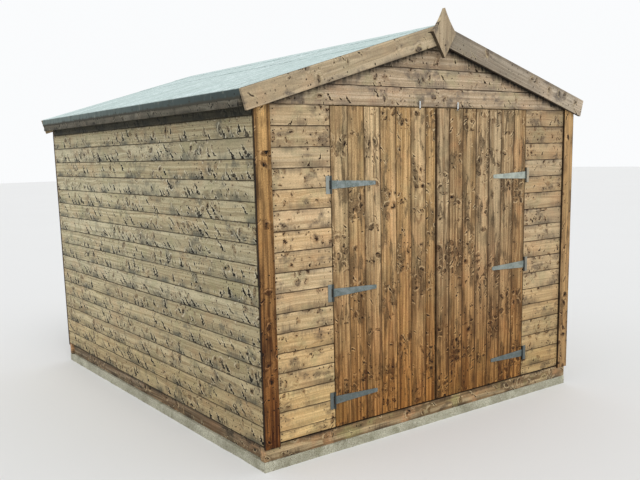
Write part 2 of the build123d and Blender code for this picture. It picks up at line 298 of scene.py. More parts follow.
class Timber(Shader):
    """Sawn softwood, drawn by how far a point lies along, across and into its own board."""

    def __init__(self, name, slot, look):
        super().__init__(name, slot)
        self.look = look
        self.grain, (self.along, self.across, self.depth) = self.attribute("grain")
        self.lot, self.age, self.level = self.attribute("tone")[1]
        self.face = self.vector(self.along, self.across)
        self.grit = self.noise(self.grain, 150, 3, 0.65)
        self.whorl = self.drawn_out(look.whorls, detail=2)
        self.low = self.z.ramp(1.7, 0.3, 0.0, look.low_marks)

    def drawn_out(self, along, across=0.0, depth=0.0, detail=3, roughness=0.5):
        """Noise with so many features a metre along the board, across it and into it."""
        stretched = self.vector_math("MULTIPLY", self.grain, (along, across, depth))
        return self.noise(stretched, 1.0, detail, roughness)

    def frayed(self, scale, reach):
        """The board's face, pushed about so that what is drawn on it gets ragged edges."""
        push = self.noise(self.face, scale, 2, out="Color")
        push = self.vector_math("SUBTRACT", push, (0.5, 0.5, 0.5))
        push = self.vector_math("MULTIPLY", push, (reach, reach, 0.0))
        return self.vector_math("ADD", self.face, push)

    def knots(self):
        """Dark knots and broken rings in whorls along the board, a pale painted highlight beside
        them that is partly resin, the brown rim round them, and how far they push the grain aside."""
        look = self.look
        share = self.whorl.ramp(*look.whorl_span, 0.05 * look.knots, 2.4 * look.knots)
        share = share * (self.low + 1.0)
        face = self.frayed(85, 0.018)
        depth, mark, side, radius = self.ovals(
            face, look.knot_spacing, share, *look.knot_size, stretch=1.8,
        )
        fade = self.from_edge(face, look.knot_spacing)
        broken = self.grit * 2.6 - 1.3
        solid = (depth + broken).ramp(0.34, 0.58)
        ring = broken * -0.0018 + abs(depth - 0.16) * radius
        ring = ring.ramp(0.0034, 0.0012) * side.ramp(-0.45, 0.10)
        ring = ring * self.noise(self.face, 62, 1).ramp(0.40, 0.52, 0.2, 1.0)
        arc = ring.most((depth + broken).ramp(0.86, 1.0))
        is_arc = mark.ramp(look.solid_knots, look.solid_knots + 0.05)
        core = is_arc * (arc - solid) + solid
        gleam = abs(depth + 0.45).ramp(0.50, 0.05) * fade * side.ramp(0.5, -0.3, 0.15, 1.0)
        feather = self.drawn_out(13.0, 95.0, detail=2).ramp(0.46, 0.60)
        feather = feather * depth.ramp(-4.5, -0.4, 0.0, look.feathers) * fade
        inside = depth.ramp(-1.2, 0.15, 0.0, look.knot_inside) * fade
        pull = depth.ramp(-3.2, 0.1, 0.0, 0.022) * fade
        return core, gleam, inside.most(feather), pull

    def pins(self):
        """Small dark specks, thrown together in clusters."""
        depth = self.ovals(self.frayed(120, 0.009), 0.030, 0.75, 0.0012, 0.0046, 1.5)[0]
        edge = 0.70 - 0.35 * self.look.pins
        cluster = self.low * 0.08 + self.noise(self.face, 9, 2) + (self.whorl * 0.6 - 0.3)
        return depth.ramp(-0.15, 0.25) * cluster.ramp(edge, edge + 0.12)

    def spikes(self):
        """Strokes that lean across the board, thick at the foot and drawn out to a point, and
        a pale painted highlight beside them that is partly resin."""
        look = self.look
        sway = self.noise(self.face, 34, 2) * 0.030 - 0.015
        lean = self.across * ((self.lot * -1.3 - 0.35) * look.spike_slant) + self.along
        off, (chance, size, mark) = self.scatter_along(lean + sway, look.spike_spacing)
        foot = mark ** 2.0 * look.spike_feet - 0.004
        climb = (self.across - foot) / (size * look.spike_height + 0.012)
        knobbly = self.noise(self.face, 75, 2).ramp(0.38, 0.60, 0.25, 1.45)
        half = (size + 0.6) * look.spike_width * (climb * -0.85 + 1.0) * knobbly
        inside = half - off
        stroke = inside.ramp(-0.0010, 0.0020)
        gleam = abs(inside + 0.0050).ramp(0.0045, 0.0005)
        present = chance.ramp(1.0 - look.spikes, 1.02 - look.spikes)
        present = present * self.drawn_out(2.6, detail=2).ramp(0.38, 0.50, 0.3, 1.0)
        present = present * (climb.ramp(-0.05, 0.06) * climb.ramp(1.05, 0.7))
        return stroke * present, gleam * present

    def growth(self, pull):
        """Growth bands, as rings about a pith somewhere behind the board, their dark lines, the
        fibres, and broad streaks."""
        side = self.across - (self.lot * 0.26 - 0.08)
        back = self.depth - (self.age * -0.12 - 0.03)
        ring = (side * side + back * back).root()
        ring = self.drawn_out(1.3, 7.0, 7.0) * 0.036 + ring + pull
        rings = self.noise(self.vector(ring * 130.0, self.along * 0.5, self.lot), 1.0, 3, 0.6)
        lines = abs(rings - 0.54).ramp(0.045, 0.005)
        fine = self.drawn_out(8.0, 300.0, 300.0, detail=2)
        broad = self.drawn_out(2.2, 70.0, 70.0, detail=2)
        return rings.ramp(0.38, 0.66), lines, fine, broad

    def mildew(self, rim):
        """Clouds, most of them near knots, and streaks from the board's lower and upper edges."""
        look = self.look
        patch = self.drawn_out(4.5)
        streak = self.drawn_out(*look.edge_grain, roughness=0.6)
        climb = self.level + (streak * -0.9 + 0.45)
        low = patch.ramp(0.42, 0.62, 0.0, look.lower_edge) * climb.ramp(0.52, 0.0)
        sunk = self.level + (streak * 0.5 - 0.25)
        high = patch.ramp(0.58, 0.40, 0.0, look.upper_edge) * sunk.ramp(0.62, 0.98)
        cloud = self.drawn_out(*look.cloud_grain, detail=4, roughness=0.6)
        cloud = self.whorl * look.cloud_whorls + (rim * 0.07 + cloud)
        cloud = cloud.ramp(*look.cloud_span, 0.0, look.mildew)
        cloud = cloud * self.grit.ramp(0.36, 0.62, 0.45, 1.0)
        if look.frontward:
            cloud = cloud * self.y.ramp(1.4, -1.4, 1.0 - look.frontward, 1.0)
        return cloud.most(low.most(high))

    def seams(self):
        """Dirt in the joints between boards and on the arrises beside them."""
        face = self.look.thickness
        sunk = self.depth.ramp(face - 0.8 * MM, face - 3.0 * MM)
        sunk = sunk * self.depth.ramp(0.3 * MM, 1.5 * MM)
        worn = self.drawn_out(14.0, roughness=0.6)
        beside = worn * 0.14 - 0.068 - self.level.least(0.945 - self.level)
        strength = worn.ramp(0.34, 0.64, self.look.seam_least, 0.95)
        return (sunk * strength).most(beside.ramp(-0.012, 0.012, 0.0, 0.65))

    def painted_slit_shade(self):
        """Painted shade in the slits beside the hinges' knuckles."""
        rises = [abs(self.z - level) for level in hinge_levels]
        share = self.off_pin().ramp(10.5 * MM, 8.5 * MM, 0.0, self.look.hinge_grime)
        return share * rises[0].least(rises[1]).least(rises[2]).ramp(48 * MM, 43 * MM)

    def shelter(self):
        """Painted shade, with some grime, under the eaves of the side walls, or under the
        bargeboards.
        """
        look = self.look
        streak = self.drawn_out(60.0, 8.0)
        if look.shelter_line == "eaves":
            over = streak * 0.030 + (self.z - top_joint)
            return over.ramp(-0.002, 0.020, 0.0, look.shelter)
        edge = abs(self.x) * -roof_slope + barge_line
        below = edge - self.z + (streak * 0.05 - 0.025)
        return below.ramp(look.shelter_reach, 0.0, 0.0, look.shelter)


def timber(name, slot, **look):
    look = SimpleNamespace(**{**TIMBER, **look})
    m = Timber(name, slot, look)
    core, core_gleam, rim, pull = m.knots()
    spikes, spike_gleam = m.spikes()
    marks = core.most(m.pins() * 0.92).most(spikes)
    bands, lines, fine, broad = m.growth(pull)

    drift = m.noise(m.face, 5.0, 3, 0.6)
    colour = m.layers(
        m.blend(fine * 0.3 + bands * look.figure, look.pale, look.deep),
        (lines * look.lines, look.halo),
        (drift.ramp(0.52, 0.66, 0.0, look.patches), look.warm),
        (drift.ramp(0.47, 0.34, 0.0, look.patches), look.cool),
    )
    swing = look.tint
    value = m.lot * (0.26 * swing) + (1.0 - 0.14 * swing)
    value = value * (m.grit * (2 * look.speckle) + (1.0 - look.speckle))
    value = value * broad.ramp(0.32, 0.68, 1.0 + 0.3 * look.streaks, 1.0 - 0.3 * look.streaks)
    varied = {
        "Hue": m.age * (0.010 * swing) + (0.5 - 0.004 * swing),
        "Saturation": m.age * (-0.24 * swing) + (1.0 + 0.13 * swing),
        "Value": value * m.z.ramp(*look.crown_span, 1.0, 1.0 + look.crown),
        "Color": colour,
    }
    colour = m.make("ShaderNodeHueSaturation", varied)
    if look.frontward:
        colour = m.blend(m.y.ramp(1.2, -1.5, 0.0, 0.6), colour, (216, 210, 202), "MULTIPLY")
    if look.rightward:
        share = m.x.ramp(-1.2, 1.2, 0.0, look.rightward)
        colour = m.blend(share, colour, look.rightward_colour)
    # The weather reaches the outer part of a board only
    outer = 1.0
    if look.thickness:
        outer = m.depth.ramp(0.25 * look.thickness, 0.55 * look.thickness)
    colour = m.layers(
        colour,
        (rim * 0.75, look.halo),
        (m.mildew(rim) * outer, look.stain),
        # Painted highlights beside knots and strokes, partly resin
        (core_gleam.most(spike_gleam) * look.gleam, look.resin),
    )
    if look.foot:
        height = m.noise(m.face, 9, 3) * 0.25 + m.z
        share = height.ramp(look.foot_top, 0.12, 0.0, look.foot)
        share = share * m.x.ramp(-1.2, 1.2, 1.0, look.foot_right) * outer
        damp = share * broad.ramp(0.50, 0.62, 0.0, look.foot_streaks)
        colour = m.blend(damp, colour, look.halo)
        colour = m.blend(share, colour, look.foot_colour, "MULTIPLY")
    colour = m.blend(marks, colour, look.knot)
    # Painted shade, with streaks of grime, under the eaves or the bargeboards
    if look.shelter:
        colour = m.blend(m.shelter(), colour, look.shelter_colour)
    if look.thickness:
        colour = m.blend(m.seams(), colour, look.seam)
    # Painted shade in the slits beside the hinges' knuckles
    if look.hinge_grime:
        colour = m.blend(m.painted_slit_shade(), colour, look.seam)
    if look.rim_shade:
        share = abs(m.level - 0.5).ramp(0.5 - look.rim_width, 0.495, 0.0, look.rim_shade)
        colour = m.blend(share, colour, look.rim_colour)
    if look.top_shade:
        share = m.level.ramp(look.top_shade_from, 0.99, 0.0, look.top_shade)
        colour = m.blend(share, colour, look.knot)
    # Painted shade on faces that look down
    if look.underside:
        facing = m.parts(m.make("ShaderNodeNewGeometry", out="True Normal"))[2]
        colour = m.blend(facing.ramp(-0.15, -0.45, 0.0, look.underside), colour, look.knot)

    m.bump(marks * 0.5 + (fine * 0.6 + bands * -0.5), 0.6 * MM, 0.7)
    return m.finish(colour, bands * 0.12 + 0.72, sheen=0.18)


def roofing_felt(name, slot):
    """Mineral felt: pale slate chips, worn and streaked down the slope, and darker at its lip."""
    m = Shader(name, slot)
    chips = m.noise(m.point, 420, 2, 0.7)
    drift = m.noise(m.vector(m.x * 0.7, m.y * 3.0), 1.6, 4, 0.6)
    streak = m.noise(m.vector(m.x * 1.2, m.y * 16.0), 1.0, 3)
    crease = m.noise(m.vector(m.x * 38.0, m.y * 0.6), 1.0, 2)
    mottle = m.noise(m.point, 30, 3, 0.75)
    top = m.layers(
        m.blend(chips.ramp(0.38, 0.62), (184, 201, 199), (237, 251, 249)),
        (mottle.ramp(0.44, 0.62, 0.0, 0.7), (158, 178, 176)),
        (drift.ramp(0.38, 0.62, 0.0, 0.5), (176, 196, 190)),
        (streak.ramp(0.50, 0.68, 0.0, 0.42), (146, 160, 152)),
    )
    lip, drop = m.attribute("lip")[1][:2]
    stain = m.noise(m.vector(m.y * 22.0, m.z * 9.0), 1.0, 4, 0.6)
    aged = m.layers(
        m.blend((stain * 0.6 + m.y).ramp(-1.1, 1.7), (56, 68, 67), (106, 118, 114)),
        (stain.ramp(0.45, 0.72, 0.0, 0.6), (52, 57, 50)),
        (stain.ramp(0.44, 0.34, 0.0, 0.7), (122, 124, 112)),
        ((drop + stain * 0.5).ramp(0.75, 1.1), (58, 55, 44)),
    )
    m.bump(chips * 0.6 + crease * 1.6, 0.8 * MM, 0.8)
    return m.finish(m.blend(lip, top, aged), 0.93)


def concrete(name, slot):
    m = Shader(name, slot)
    patch = m.noise(m.point, 6, 5, 0.65)
    grit = m.noise(m.point, 160, 4, 0.7)
    stones, chances = m.scatter("Vector", m.point, 70, "3D", ("Distance", "Color"))
    shown = stones.ramp(0.30, 0.12) * m.parts(chances)[0].ramp(0.55, 0.7)
    colour = m.layers(
        m.blend(patch.ramp(0.35, 0.68), (198, 196, 174), (160, 157, 136)),
        (grit.ramp(0.46, 0.62, 0.0, 0.8), (112, 104, 86)),
        (shown, (206, 200, 184)),
        (m.noise(m.point, 11, 3).ramp(0.55, 0.75) * 0.45, (104, 104, 72)),
    )
    m.bump(grit + stones * -0.7, 2.5 * MM, 0.8)
    return m.finish(colour, 0.92)


def zinc(name, shade, roughness, patina=0.5, rightward=0.0, bloom=(206, 212, 196), low_darkening=0.48):
    """Zinc-plated steel: mottled spangle, white bloom, a little rust, darker low down, painted
    shade on the knuckles.
    """
    m = Shader(name, "galvanised_steel")
    spangle = m.parts(m.scatter("Vector", m.point, 190, "3D", ["Color"])[0])[0]
    cloud = m.noise(m.point, 28, 4, 0.6)
    colour = m.blend(spangle * 0.5, shade, (152, 160, 162))
    colour = m.blend(cloud.ramp(0.42, 0.68, 0.0, patina), colour, (176, 184, 184))
    if rightward:
        clean = m.x.ramp(-0.3, 0.6, 0.0, rightward) * m.z.ramp(0.1, 1.5)
        colour = m.blend(clean * cloud.ramp(0.36, 0.60, 0.5, 1.0), colour, bloom)
    colour = m.layers(
        colour,
        # Darker towards the bottom
        (m.z.ramp(1.5, 0.3, 0.0, low_darkening), (64, 74, 76)),
        # Painted shade along the hinge knuckles
        (m.off_pin().ramp(6.0 * MM, 4.5 * MM, 0.0, 0.85), (38, 44, 44)),
        (m.noise(m.point, 75, 4, 0.7).ramp(0.62, 0.72) * 0.55, (112, 78, 52)),
    )
    m.bump(m.noise(m.point, 300, 3), 0.25 * MM, 0.6)
    return m.finish(colour, cloud.ramp(0.3, 0.7, roughness, roughness + 0.2), 0.55)


def nail_metal(name):
    m = Shader(name, "galvanised_steel")
    colour = m.blend(m.noise(m.point, 60, 3).ramp(0.35, 0.65), (30, 24, 20), (60, 44, 32))
    m.bump(m.noise(m.point, 600, 2), 0.2 * MM, 0.5)
    return m.finish(colour, 0.7, 0.2, sheen=0.2)


# Shapes

def new_piece(name, shape, material, nodes=(), body="shed", smooth=35):
    """Turns a bmesh into a piece that rides on a body and stands for CAD nodes."""
    bmesh.ops.recalc_face_normals(shape, faces=shape.faces)
    mesh = bpy.data.meshes.new(name)
    shape.to_mesh(mesh)
    shape.free()
    mesh.shade_smooth()
    mesh.set_sharp_from_angle(angle=math.radians(smooth))
    mesh.materials.append(material)
    piece = bpy.data.objects.new(name, mesh)
    bpy.context.scene.collection.objects.link(piece)
    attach(piece, body)
    if nodes:
        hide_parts(*nodes)


def timber_mesh():
    """An empty bmesh with the two layers that the timber material reads."""
    shape = bmesh.new()
    shape.verts.layers.float_vector.new("grain")
    shape.verts.layers.float_vector.new("tone")
    return shape


def timber_layers(shape):
    layers = shape.verts.layers.float_vector
    return layers["grain"], layers["tone"]


class Axes:
    """A board's own directions: along its grain, across its face, and out of its face."""

    def __init__(self, origin, along, across, out):
        self.origin = Vector(origin)
        self.along = Vector(along).normalized()
        self.across = Vector(across).normalized()
        self.out = Vector(out).normalized()

    def point(self, s, v, w):
        return self.origin + self.along * s + self.across * v + self.out * w

    def moved(self, v):
        return Axes(self.point(0.0, v, 0.0), self.along, self.across, self.out)


def shrink(profile, amount):
    """A profile drawn in a little towards its middle."""
    middles = [sum(values) / len(profile) for values in zip(*profile)]
    drawn = []
    for point in profile:
        offs = [value - middle for value, middle in zip(point, middles)]
        drawn.append([v - math.copysign(min(amount, abs(off)), off) for v, off in zip(point, offs)])
    return drawn


def skin(shape, rings):
    """Faces between each ring of vertices and the next."""
    for near, far in zip(rings, rings[1:]):
        for i in range(len(near)):
            j = (i + 1) % len(near)
            shape.faces.new((near[i], near[j], far[j], far[i]))


stretches = itertools.cycle(range(60))


def timber_shift(dice):
    """A place in the grain's field that none of the boards cut just before it shares."""
    return 3.4 * next(stretches) + dice.uniform(0.0, 0.3)


def add_board(shape, axes, profile, start, end, dice, width, bow=0.6 * MM):
    """Runs a profile of (across, out) points along a board whose ends may be cut on a slant.

    start and end give the distance along the board for a point of the profile."""
    grain, tone = timber_layers(shape)
    shift = timber_shift(dice)
    lot, age, phase, turn = (dice.random() for _ in range(4))
    length = max(end(v, w) - start(v, w) for v, w in profile)
    count = max(2, round(length / BOARD_STEP))
    tip = min(ARRIS / length, 0.2)
    small = shrink(profile, ARRIS)
    rings = []
    for share in [0.0, tip] + [i / count for i in range(1, count)] + [1.0 - tip, 1.0]:
        drift = bow * math.sin(2 * math.pi * (phase + share * (0.6 + turn)))
        ring = []
        for v, w in small if share in (0.0, 1.0) else profile:
            s = start(v, w) + (end(v, w) - start(v, w)) * share
            vertex = shape.verts.new(axes.point(s, v + drift * 0.6, w - abs(drift)))
            vertex[grain] = (s + shift, v, w)
            vertex[tone] = (lot, age, v / width)
            ring.append(vertex)
        rings.append(ring)
    skin(shape, rings)
    shape.faces.new(rings[0])
    shape.faces.new(rings[-1][::-1])


def shiplap_profile(cover, plain_low, plain_top, gap):
    """Section of a shiplap board: a rebate behind its lower edge and a tongue at its top."""
    thickness = board_thickness
    half = thickness * 0.46
    lip = 9.5 * MM
    low = [(lip, 0.0), (lip, half + 0.3 * MM), (0.4 * MM, half + 0.3 * MM)]
    if plain_low:
        low = [(0.0, 0.0), (0.0, half)]
    face = [
        (0.0, thickness - 1.3 * MM), (0.4 * MM, thickness - 0.4 * MM), (1.4 * MM, thickness),
        (cover * 0.5, thickness),
    ]
    edge = cover - gap
    top = [
        (edge - 2.2 * MM, thickness), (edge - 1.2 * MM, thickness - 0.4 * MM),
        (edge - 0.4 * MM, thickness - 1.5 * MM), (edge, half), (edge + 0.2 * MM, half - 0.3 * MM),
        (cover + lip - 2 * MM, half - 0.3 * MM), (cover + lip - 2 * MM, 0.0),
    ]
    if plain_top:
        top = [
            (cover - 1.4 * MM, thickness), (cover - 0.4 * MM, thickness - 0.4 * MM),
            (cover, thickness - 1.3 * MM), (cover, 0.0),
        ]
    return low + face + top


def tongued_profile(cover, thickness, first, last):
    """Section of a matchboard: V-cut edges, a groove on one side and a tongue on the other."""
    vee = 2.0 * MM
    low, high = thickness * 0.35, thickness * 0.65
    reach = 4 * MM
    gap = 0.5 * MM
    left = [(gap, 0.0), (gap, low), (gap + reach, low), (gap + reach, high), (gap, high)]
    if first:
        left = [(0.0, 0.0), (0.0, high)]
    right = [
        (cover - gap, high), (cover + reach - gap, high), (cover + reach - gap, low),
        (cover - gap, low), (cover - gap, 0.0),
    ]
    if last:
        right = [(cover, high), (cover, 0.0)]
    start, end = left[0][0], right[0][0]
    face = [
        (start, thickness - vee), (start + vee, thickness), (cover / 2, thickness),
        (end - vee, thickness), (end, thickness - vee),
    ]
    return left + face + right


def matchboards(width, pitch, thickness):
    """Place, cover and section of each of the matchboards that fill a width."""
    count = math.ceil(width / pitch)
    for i in range(count):
        cover = min(pitch, width - i * pitch)
        yield i * pitch, cover, tongued_profile(cover, thickness, i == 0, i == count - 1)


def constant(value):
    return lambda v, w: value


NAIL_RINGS = ((1.0, 0.0), (1.0, 0.45), (0.72, 0.85))
SCREW_RINGS = ((1.0, 0.0), (1.0, 0.35), (0.82, 0.8), (0.45, 1.0), (0.2, 0.35))
CROSS_RING = 0.45
CROSS_DEPTH = 0.55


def head_rings(shape, centre, out, head, heights, sides):
    """The rings of a round head. One ring of a screw's has the arms of a cross sunk in it."""
    radius, rise = head
    side = out.orthogonal().normalized()
    other = out.cross(side)
    rings = []
    for share, height in heights:
        ring = []
        for i in range(sides):
            turn = 2 * math.pi * i / sides
            sunk = CROSS_DEPTH if share == CROSS_RING and i % 4 == 0 else 0.0
            offset = (side * math.cos(turn) + other * math.sin(turn)) * (radius * share)
            ring.append(shape.verts.new(centre + offset + out * (rise * (height - sunk))))
        rings.append(ring)
    skin(shape, rings)
    return rings[-1]


def add_nail(shape, centre, out, head, sides=8):
    """A nail's round head, slightly domed."""
    last = head_rings(shape, centre, out, head, NAIL_RINGS, sides)
    top = shape.verts.new(centre + out * head[1])
    for i in range(sides):
        shape.faces.new((last[i], last[(i + 1) % sides], top))


def add_screw(shape, centre, out, head):
    """A domed cross-head screw."""
    shape.faces.new(head_rings(shape, centre, out, head, SCREW_RINGS, 16))


def corners(points):
    """The lowest and the highest corner of some points' box."""
    return [Vector([pick(p[i] for p in points) for i in range(3)]) for pick in (min, max)]


def linked(group, kind):
    """The edges or the faces of some vertices, each one once, in the same order on every run."""
    return list(dict.fromkeys(item for vertex in group for item in getattr(vertex, kind)))


def islands(shape):
    """The separate solids in a bmesh, as lists of vertices."""
    left = dict.fromkeys(shape.verts)
    found = []
    while left:
        group = [left.popitem()[0]]
        for vertex in group:
            for link in vertex.link_edges:
                other = link.other_vert(vertex)
                if other in left:
                    del left[other]
                    group.append(other)
        found.append(group)
    return sorted(found, key=lambda group: [round(c, 4) for c in corners([v.co for v in group])[0]])


def clean_copy(node):
    """A CAD node's mesh with its faces joined up again."""
    shape = bmesh.new()
    shape.from_mesh(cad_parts[node].data)
    bmesh.ops.remove_doubles(shape, verts=shape.verts, dist=0.01 * MM)
    bmesh.ops.dissolve_limit(
        shape, angle_limit=math.radians(0.5), verts=shape.verts, edges=shape.edges
    )
    return shape


def part_boxes(node):
    """Lowest and highest corner of each solid in a CAD node."""
    shape = clean_copy(node)
    boxes = [corners([v.co for v in group]) for group in islands(shape)]
    shape.free()
    return boxes


def timber_axes(group, along=None):
    """The grain runs with a solid's longest edge, and its widest face is the board's face."""
    if along is None:
        edges = linked(group, "link_edges")
        longest = max(edges, key=lambda e: (round(e.calc_length(), 5), tuple(e.verts[0].co)))
        along = longest.verts[1].co - longest.verts[0].co
    along = Vector(along).normalized()
    flat = [f for f in linked(group, "link_faces") if abs(f.normal.dot(along)) < 0.3]
    out = max(flat, key=lambda f: (round(f.calc_area(), 6), tuple(f.normal))).normal.copy()
    return along, out.cross(along).normalized(), out


def solid_timbers(name, node, material, dice, bevel=1.6 * MM, body="shed", along=None):
    """The CAD node's timbers with eased edges and grain along each of them."""
    source = clean_copy(node)
    shape = timber_mesh()
    grain, tone = timber_layers(shape)
    for group in islands(source):
        directions = timber_axes(group, along)
        lot, age, shift = dice.random(), dice.random(), timber_shift(dice)
        part = bmesh.new()
        copies = {v: part.verts.new(v.co) for v in group}
        for face in linked(group, "link_faces"):
            part.faces.new([copies[v] for v in face.verts])
        bmesh.ops.recalc_face_normals(part, faces=part.faces)
        sharp = [e for e in part.edges if e.calc_face_angle(0.0) > math.radians(25)]
        bmesh.ops.bevel(
            part, geom=sharp, offset=bevel, segments=2, profile=0.6,
            affect="EDGES", clamp_overlap=True,
        )
        lows = [min(v.co.dot(d) for v in part.verts) for d in directions]
        width = max(v.co.dot(directions[1]) for v in part.verts) - lows[1]
        added = {}
        for vertex in part.verts:
            new = shape.verts.new(vertex.co)
            s, v, w = (vertex.co.dot(d) - low for d, low in zip(directions, lows))
            new[grain] = (s + shift, v, w)
            new[tone] = (lot, age, v / width)
            added[vertex] = new
        for face in part.faces:
            shape.faces.new([added[v] for v in face.verts])
        part.free()
    source.free()
    new_piece(name, shape, material, [node], body)


def levels_from(first, last):
    """Board edges from first up to last. A strip too thin to be a board joins the last one."""
    found = [first]
    widest = CLADDING_COVER * 1.35
    while last - found[-1] > widest:
        found.append(found[-1] + CLADDING_COVER)
    return found + [last]


# Places that the woods' looks go by: the hinges' middles and the side walls' highest joint
hinge_levels = [(low.z + high.z) / 2 for low, high in part_boxes("right_hinge_plates")]
top_joint = levels_from(side_low.z, side_high.z - EAVES_GAP)[-2]

# Woods, in the order in which the shed is put together

side_look = dict(
    pale=(213, 202, 167), deep=(171, 158, 124), warm=(192, 162, 126), cool=(168, 166, 126),
    stain=(80, 84, 78), knot=(22, 19, 13), halo=(124, 96, 66), seam=(58, 50, 38),
    resin=(234, 226, 198), thickness=board_thickness, tint=0.45, speckle=0.58, gleam=0.62,
    lines=0.44, knot_inside=0.7, knots=0.6, whorls=2.8, whorl_span=(0.47, 0.57),
    knot_spacing=0.07, knot_size=(0.004, 0.017), pins=0.95, spikes=0.75, spike_spacing=0.055,
    spike_slant=0.85, spike_height=0.058, spike_width=0.0125, mildew=0.8, lower_edge=0.85,
    foot=0.8, foot_top=1.1, foot_colour=(238, 221, 197),
    # Painted shade, with some grime, on the top board under the eaves and under the back
    # bargeboards
    shelter=0.92, shelter_reach=0.09, shelter_colour=(34, 35, 28),
)
wood_side = timber(
    "side boards, greyed and mildewed", "side_timber", **side_look,
    frontward=0.5, shelter_line="eaves",
)
wood_back = timber(
    "back boards, greyed and mildewed", "side_timber", **side_look,
    shelter_line="bargeboards",
)
wood_front = timber(
    "front boards, honey coloured", "front_timber",
    pale=(221, 193, 151), deep=(186, 157, 115), stain=(92, 80, 68), crown=-0.13,
    warm=(204, 160, 118), knot=(48, 31, 19), halo=(132, 94, 58), lines=0.34,
    thickness=board_thickness, tint=0.6, knots=0.66, knot_size=(0.003, 0.015), pins=0.68,
    solid_knots=0.12, knot_inside=0.6, knot_spacing=0.052, whorls=3.2, whorl_span=(0.48, 0.57),
    spikes=0.25, spike_slant=0.5, spike_height=0.025, mildew=0.9, cloud_grain=(9.0, 11.0),
    # The boards beside the hinges' knuckles get painted shade
    rightward=0.24, rightward_colour=(120, 108, 96), hinge_grime=0.9,
    lower_edge=0.75, upper_edge=0.7, foot=0.9, foot_top=1.3, foot_colour=(255, 247, 218),
)
wood_gable = timber(
    "gable boards, browner", "front_timber",
    pale=(204, 184, 156), deep=(162, 141, 113), warm=(192, 156, 124), stain=(84, 78, 74),
    knot=(46, 32, 21), halo=(124, 92, 62), thickness=board_thickness, tint=0.5, lines=0.4,
    # Darker near the apex: painted shade under the bargeboards
    crown=-0.12, crown_span=(1.95, 2.2), speckle=0.56, knots=0.7, knot_size=(0.003, 0.016),
    solid_knots=0.18, knot_inside=0.7, whorls=2.8, whorl_span=(0.48, 0.57),
    pins=0.7, spikes=0.4, spike_slant=-0.5, spike_height=0.035, spike_width=0.007,
    mildew=0.85, lower_edge=0.6, upper_edge=0.5,
    # Painted shade, with some grime, in a band under the bargeboards
    shelter=1.0, shelter_line="bargeboards", shelter_reach=0.048, shelter_colour=(34, 31, 27),
)
door_look = dict(
    halo=(96, 62, 34), resin=(232, 204, 158), knot=(30, 16, 8), seam=(58, 36, 21),
    seam_least=0.5, whorls=3.8, whorl_span=(0.50, 0.58), speckle=0.64,
    thickness=door_high.y - door_low.y, tint=0.75, figure=0.6, lines=0.52, streaks=0.6,
    foot_streaks=0.65, edge_grain=(14.0, 45.0), low_marks=1.1, knot_spacing=0.048,
    knot_size=(0.003, 0.016), feathers=0.9, solid_knots=0.14, knot_inside=0.6, gleam=0.65,
    spike_slant=-0.8, spike_height=0.022, spike_width=0.005, spike_feet=0.09,
    cloud_grain=(5.0, 20.0), cloud_span=(0.77, 0.85), cloud_whorls=0.5,
    mildew=0.85, foot=0.95, foot_top=1.6,
)
door_woods = {
    LEFT: timber(
        "left door's boards, warm brown", "door_timber", **door_look,
        pale=(210, 178, 132), deep=(155, 123, 80), warm=(204, 160, 116), cool=(160, 146, 108),
        stain=(78, 66, 48), knots=0.6, spikes=0.30, pins=0.55, lower_edge=0.6, upper_edge=0.5,
        foot_colour=(212, 176, 124),
    ),
    RIGHT: timber(
        "right door's boards, darker and knottier", "door_timber", **door_look,
        pale=(200, 171, 130), deep=(137, 109, 74), warm=(184, 140, 100), cool=(146, 132, 100),
        stain=(58, 47, 34), knots=0.8, spikes=0.45, pins=0.6, lower_edge=0.7, upper_edge=0.65,
        foot_colour=(217, 180, 122),
    ),
}
wood_trim = timber(
    "corner trims, orange brown", "trim_timber",
    pale=(190, 154, 102), deep=(138, 102, 60), warm=(182, 134, 80), cool=(138, 116, 74),
    resin=(222, 184, 132), knot=(18, 10, 6), halo=(80, 50, 27), stain=(46, 31, 20),
    speckle=0.78, lines=0.6, streaks=0.9, knots=0.17, knot_spacing=0.07,
    knot_size=(0.004, 0.020), spikes=0.22, spike_height=0.03, spike_spacing=0.05,
    spike_feet=0.04, gleam=0.8, low_marks=4.2, pins=0.5, mildew=0.7, cloud_grain=(5.0, 14.0),
    lower_edge=0.7, upper_edge=0.6, edge_grain=(14.0, 45.0), tint=0.4,
    rightward=0.3, rightward_colour=(198, 170, 132), foot=0.98, foot_top=2.3, foot_right=0.15,
    foot_streaks=0.8, foot_colour=(184, 146, 112), crown=0.2, crown_span=(1.55, 1.85),
    rim_shade=0.9, rim_width=0.028, rim_colour=(27, 19, 13),
)
barge_look = dict(
    halo=(112, 92, 68), knot=(46, 38, 30), stain=(92, 84, 78), lines=0.3, knots=0.65,
    knot_spacing=0.09, spikes=0.35, spike_height=0.04, spike_width=0.005, pins=0.8,
    mildew=0.9, cloud_grain=(7.0, 12.0), lower_edge=0.3, upper_edge=0.5, tint=0.3,
    # The lower faces of bargeboards and finial get painted shade
    rim_shade=0.4, rim_width=0.02, rim_colour=(104, 82, 58), underside=0.85,
)
wood_barge = timber(
    "bargeboards, pale straw", "gable_timber", **barge_look,
    pale=(202, 182, 150), deep=(166, 145, 113), warm=(194, 160, 124), cool=(166, 158, 126),
)
wood_barge_grey = timber(
    "bargeboard, greyer", "gable_timber", **barge_look,
    pale=(209, 194, 172), deep=(168, 152, 130), warm=(192, 168, 140), cool=(164, 156, 136),
    crown=-0.39, crown_span=(1.88, 2.09),
)
wood_finial = timber(
    "finial, straw brown", "gable_timber", **barge_look,
    pale=(186, 166, 136), deep=(150, 131, 104), warm=(182, 150, 114), cool=(158, 148, 116),
)
